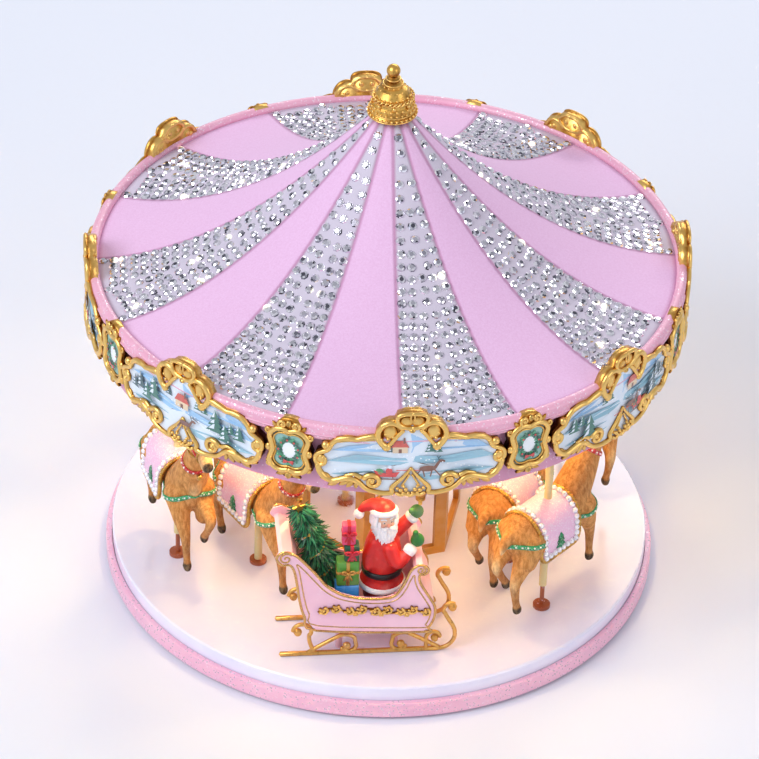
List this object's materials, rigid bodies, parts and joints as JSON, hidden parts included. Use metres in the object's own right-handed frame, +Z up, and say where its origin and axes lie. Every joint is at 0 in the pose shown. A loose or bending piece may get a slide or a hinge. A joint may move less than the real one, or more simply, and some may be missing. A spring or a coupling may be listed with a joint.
{
  "type": "carousel music box",
  "caption": "Tabletop carousel music box: turning deck with reindeer that rise and fall, a sleigh with its driver, a mirrored column and a jewelled tent canopy.",
  "frame": {"origin": "centre of the rubber feet's bottom plane, on the turning axis", "axes": "+Z up along the turning axis; -Y is the front with the sleigh"},
  "size_m": [0.305, 0.305, 0.296],
  "materials": {
    "base_plastic": "pink moulded plastic with fine glitter",
    "foot_rubber": "matt rubber",
    "steel": "plain steel",
    "black_plastic": "matt",
    "gear_plastic": "natural acetal",
    "board": "printed circuit board",
    "white_plastic": "glossy white",
    "pole_plastic": "ivory, satin",
    "copper": "copper-brown paint",
    "mirror": "silvered panel",
    "bronze_frame": "gold-bronze paint",
    "ceiling": "pale pink",
    "lamp": "warm lamp dome",
    "brass": "brass",
    "fascia_pink": "pink, satin",
    "rim_pink": "pink, satin",
    "roof_satin": "lavender-pink satin bonded to a shell",
    "stones": "faceted rhinestones on a mesh",
    "gilt": "antique gold with dark recesses",
    "picture": "painted winter picture",
    "wreath": "painted wreath picture",
    "sleigh_pink": "pink enamel with gold edges",
    "runner_gold": "gold paint",
    "figure": "painted resin",
    "fir": "painted resin needles",
    "parcels": "painted resin parcels",
    "reindeer_resin": "tan-brown painted resin with a fur texture"
  },
  "bodies": {
    "base": {"base_shell": "base_plastic", "rubber_feet": "foot_rubber", "post_screws": "steel", "drive_motor": "steel", "circuit_board": "board", "speaker": "black_plastic", "dc_inlet": "black_plastic", "center_post": "steel", "thrust_ring": "gear_plastic", "slip_ring": "brass", "crown_gear": "gear_plastic"},
    "turntable": {"deck": "white_plastic", "drive_gear": "gear_plastic", "column_core": "ceiling", "mirror_panels": "mirror", "column_frame": "bronze_frame", "ceiling_plate": "ceiling", "ceiling_lamps": "lamp", "pole_bushes": "brass", "canopy_fascia": "fascia_pink", "roof_rim": "rim_pink", "roof_shell": "roof_satin", "stone_strips": "stones", "large_frames": "gilt", "large_pictures": "picture", "small_frames": "gilt", "small_pictures": "wreath", "finial": "gilt", "guide_rods": "copper", "sleigh_body": "sleigh_pink", "sleigh_runners": "runner_gold", "sleigh_ornaments": "gilt", "driver_figure": "figure", "hand_bell": "gilt", "fir_tree": "fir", "gift_boxes": "parcels", "crank_bracket": "steel", "rocker_brackets": "steel", "brush_block": "black_plastic"},
    "outer_ride": {"outer_lift_ring": "steel", "outer_poles": "pole_plastic", "outer_reindeer_1": "reindeer_resin", "outer_reindeer_2": "reindeer_resin", "outer_reindeer_3": "reindeer_resin", "outer_reindeer_4": "reindeer_resin", "outer_reindeer_5": "reindeer_resin"},
    "inner_ride": {"inner_lift_ring": "steel", "inner_poles": "pole_plastic", "inner_reindeer_1": "reindeer_resin", "inner_reindeer_2": "reindeer_resin", "inner_reindeer_3": "reindeer_resin", "inner_reindeer_4": "reindeer_resin", "inner_reindeer_5": "reindeer_resin"},
    "motor_pinion": {"motor_pinion": "gear_plastic"},
    "crank": {"crank_shaft": "steel"},
    "button": {"power_button": "white_plastic"},
    "knob": {"volume_knob": "white_plastic"},
    "rocker_1": {"rocker_arm_1": "brass"},
    "rocker_2": {"rocker_arm_2": "brass"},
    "rocker_3": {"rocker_arm_3": "brass"}
  },
  "joints": [
    {"name": "turntable_spin", "type": "hinge", "parent": "base", "child": "turntable", "pos_m": [0, 0, 0.0183], "axis": [0, 0, 1], "continuous": true},
    {"name": "pinion_spin", "type": "hinge", "parent": "base", "child": "motor_pinion", "pos_m": [0.03308, 0.05729, 0.01], "axis": [0, 0, 1], "continuous": true},
    {"name": "crank_spin", "type": "hinge", "parent": "turntable", "child": "crank", "pos_m": [0, 0, 0.1614], "axis": [1, 0, 0], "continuous": true},
    {"name": "outer_lift", "type": "slide", "parent": "turntable", "child": "outer_ride", "axis": [0, 0, 1], "range_m": [-0.012, 0]},
    {"name": "inner_lift", "type": "slide", "parent": "turntable", "child": "inner_ride", "axis": [0, 0, 1], "range_m": [0, 0.012]},
    {"name": "button_press", "type": "slide", "parent": "base", "child": "button", "axis": [0, -1, 0], "range_m": [0, 0.001], "stiffness_N_per_m": 300},
    {"name": "knob_turn", "type": "hinge", "parent": "base", "child": "knob", "pos_m": [0.02911, 0.13694, 0.0066], "axis": [0.2079, 0.9781, 0], "range_deg": [-135, 135]},
    {"name": "rocker_1_swing", "type": "hinge", "parent": "turntable", "child": "rocker_1", "pos_m": [0.02386, -0.08906, 0.1645], "axis": [0.9659, 0.2588, 0], "range_deg": [0, 60.01]},
    {"name": "rocker_2_swing", "type": "hinge", "parent": "turntable", "child": "rocker_2", "pos_m": [0.0652, 0.0652, 0.1645], "axis": [-0.7071, 0.7071, 0], "range_deg": [0, 60.01]},
    {"name": "rocker_3_swing", "type": "hinge", "parent": "turntable", "child": "rocker_3", "pos_m": [-0.08906, 0.02386, 0.1645], "axis": [-0.2588, -0.9659, 0], "range_deg": [0, 60.01]}
  ],
  "couplings": [
    {"joint": "pinion_spin", "follows": "turntable_spin", "ratio": -10},
    {"joint": "crank_spin", "follows": "turntable_spin", "ratio": -2},
    {"joint": "inner_lift", "follows": "outer_lift", "ratio": -1},
    {"joint": "rocker_1_swing", "follows": "outer_lift", "rad_per_m": -87.266},
    {"joint": "rocker_2_swing", "follows": "outer_lift", "rad_per_m": -87.266},
    {"joint": "rocker_3_swing", "follows": "outer_lift", "rad_per_m": -87.266}
  ]
}
